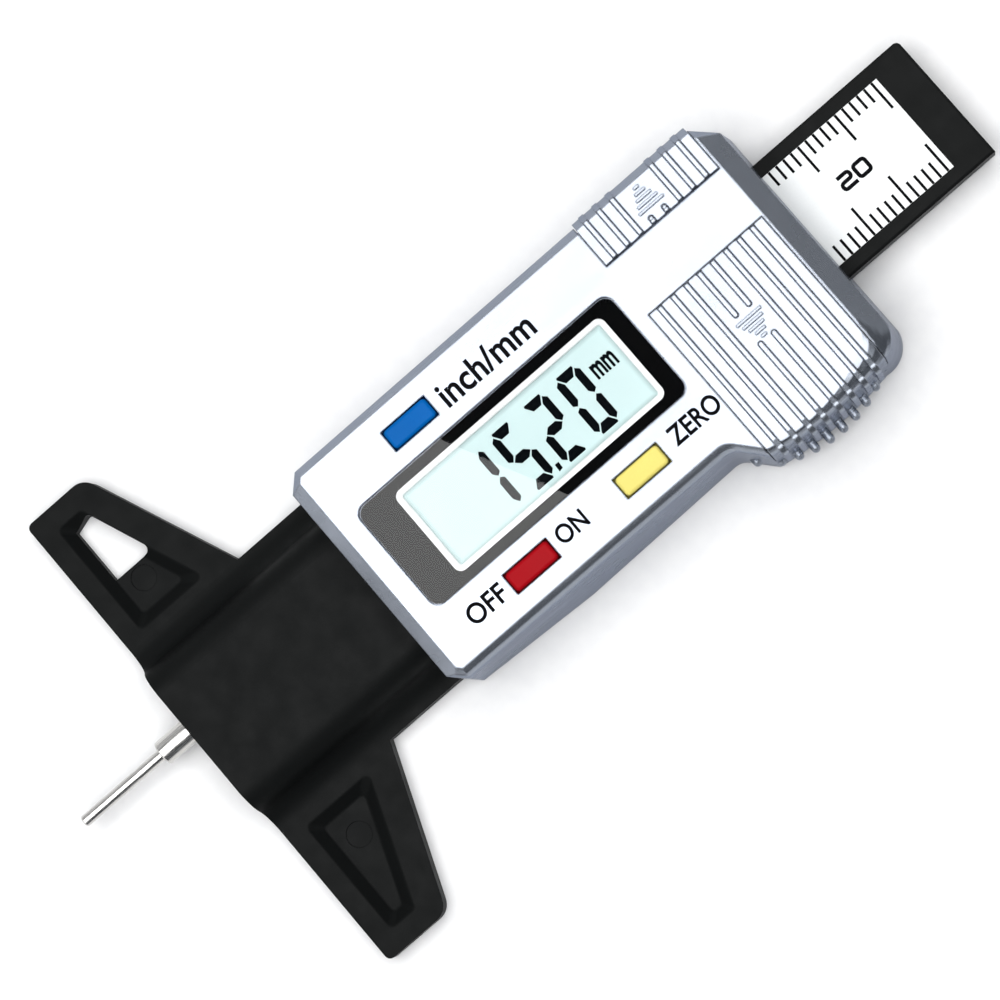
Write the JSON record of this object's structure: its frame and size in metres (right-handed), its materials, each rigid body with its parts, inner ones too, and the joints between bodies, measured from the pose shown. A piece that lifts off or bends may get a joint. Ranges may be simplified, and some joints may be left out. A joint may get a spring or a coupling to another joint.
{
  "type": "tire tread gauge",
  "caption": "Digital tire tread depth gauge: T-shaped measuring base, boxy display housing with keys, and a scaled slide that drives a thin steel probe.",
  "frame": {"origin": "middle of the footprint on the back face that the gauge lies on, on the slide's centre line", "axes": "+Z out of the display, +Y along the slide towards its free end, +X towards the thumb bulge; the probe points along -Y"},
  "size_m": [0.06, 0.1178, 0.0143],
  "materials": {
    "black_plastic": "fine grained moulded ABS",
    "silver_plastic": "silver lacquered moulded ABS, satin",
    "clear_lens": "clear polished acrylic",
    "black_print": "black print on the lens's underside",
    "white_plastic": "white moulded frame",
    "display_glass": "display glass",
    "display_film": "polarising film",
    "silicone": "conductive silicone",
    "board": "green solder mask",
    "resin": "black potting resin",
    "ceramic": "ceramic components with tinned ends",
    "gold": "gold plated",
    "blue_plastic": "blue moulded plastic",
    "yellow_plastic": "yellow moulded plastic",
    "red_plastic": "red moulded plastic",
    "steel": "ground stainless steel",
    "cell_steel": "nickel plated steel",
    "nylon": "nylon seal",
    "spring_bronze": "spring bronze",
    "scale_print": "white printed scale foil",
    "zinc": "zinc plated screw steel"
  },
  "bodies": {
    "housing": {"base_housing": "black_plastic", "front_cover": "silver_plastic", "display_lens": "clear_lens", "lens_mask": "black_print", "lcd_frame": "white_plastic", "zebra_strips": "silicone", "lcd_polariser": "display_film", "lcd_front_glass": "display_glass", "lcd_rear_glass": "display_glass", "lcd_reflector": "display_film", "circuit_board": "board", "controller_chip": "resin", "small_components": "ceramic", "port_contacts": "gold", "key_dome_inch_mm": "silicone", "key_dome_zero": "silicone", "key_dome_power": "silicone", "battery_can": "cell_steel", "battery_seal": "nylon", "battery_cap": "cell_steel", "battery_contact_minus": "gold", "battery_contact_plus": "gold", "back_screws": "zinc", "stop_screw": "zinc", "drag_spring": "spring_bronze"},
    "slide": {"slide_bar": "black_plastic", "scale_plate": "scale_print", "probe_sleeve": "steel", "probe_pin": "steel"},
    "inch_mm_key": {"button_inch_mm": "blue_plastic"},
    "zero_key": {"button_zero": "yellow_plastic"},
    "power_key": {"button_power": "red_plastic"},
    "battery_lid": {"battery_cover": "silver_plastic"},
    "port_lid": {"port_cover": "silver_plastic"}
  },
  "joints": [
    {"name": "slide_travel", "type": "slide", "parent": "housing", "child": "slide", "axis": [0, -1, 0], "range_m": [-0.0152, 0.0102]},
    {"name": "inch_mm_press", "type": "slide", "parent": "housing", "child": "inch_mm_key", "axis": [0, 0, -1], "range_m": [0, 0.0005], "stiffness_N_per_m": 1200, "springref_m": -0.0002, "deforming": ["key_dome_inch_mm"]},
    {"name": "zero_press", "type": "slide", "parent": "housing", "child": "zero_key", "axis": [0, 0, -1], "range_m": [0, 0.0005], "stiffness_N_per_m": 1200, "springref_m": -0.0002, "deforming": ["key_dome_zero"]},
    {"name": "power_press", "type": "slide", "parent": "housing", "child": "power_key", "axis": [0, 0, -1], "range_m": [0, 0.0005], "stiffness_N_per_m": 1200, "springref_m": -0.0002, "deforming": ["key_dome_power"]},
    {"name": "battery_cover_slide", "type": "slide", "parent": "housing", "child": "battery_lid", "axis": [1, 0, 0], "range_m": [0, 0.024]},
    {"name": "port_cover_slide", "type": "slide", "parent": "housing", "child": "port_lid", "axis": [-1, 0, 0], "range_m": [0, 0.008]}
  ]
}
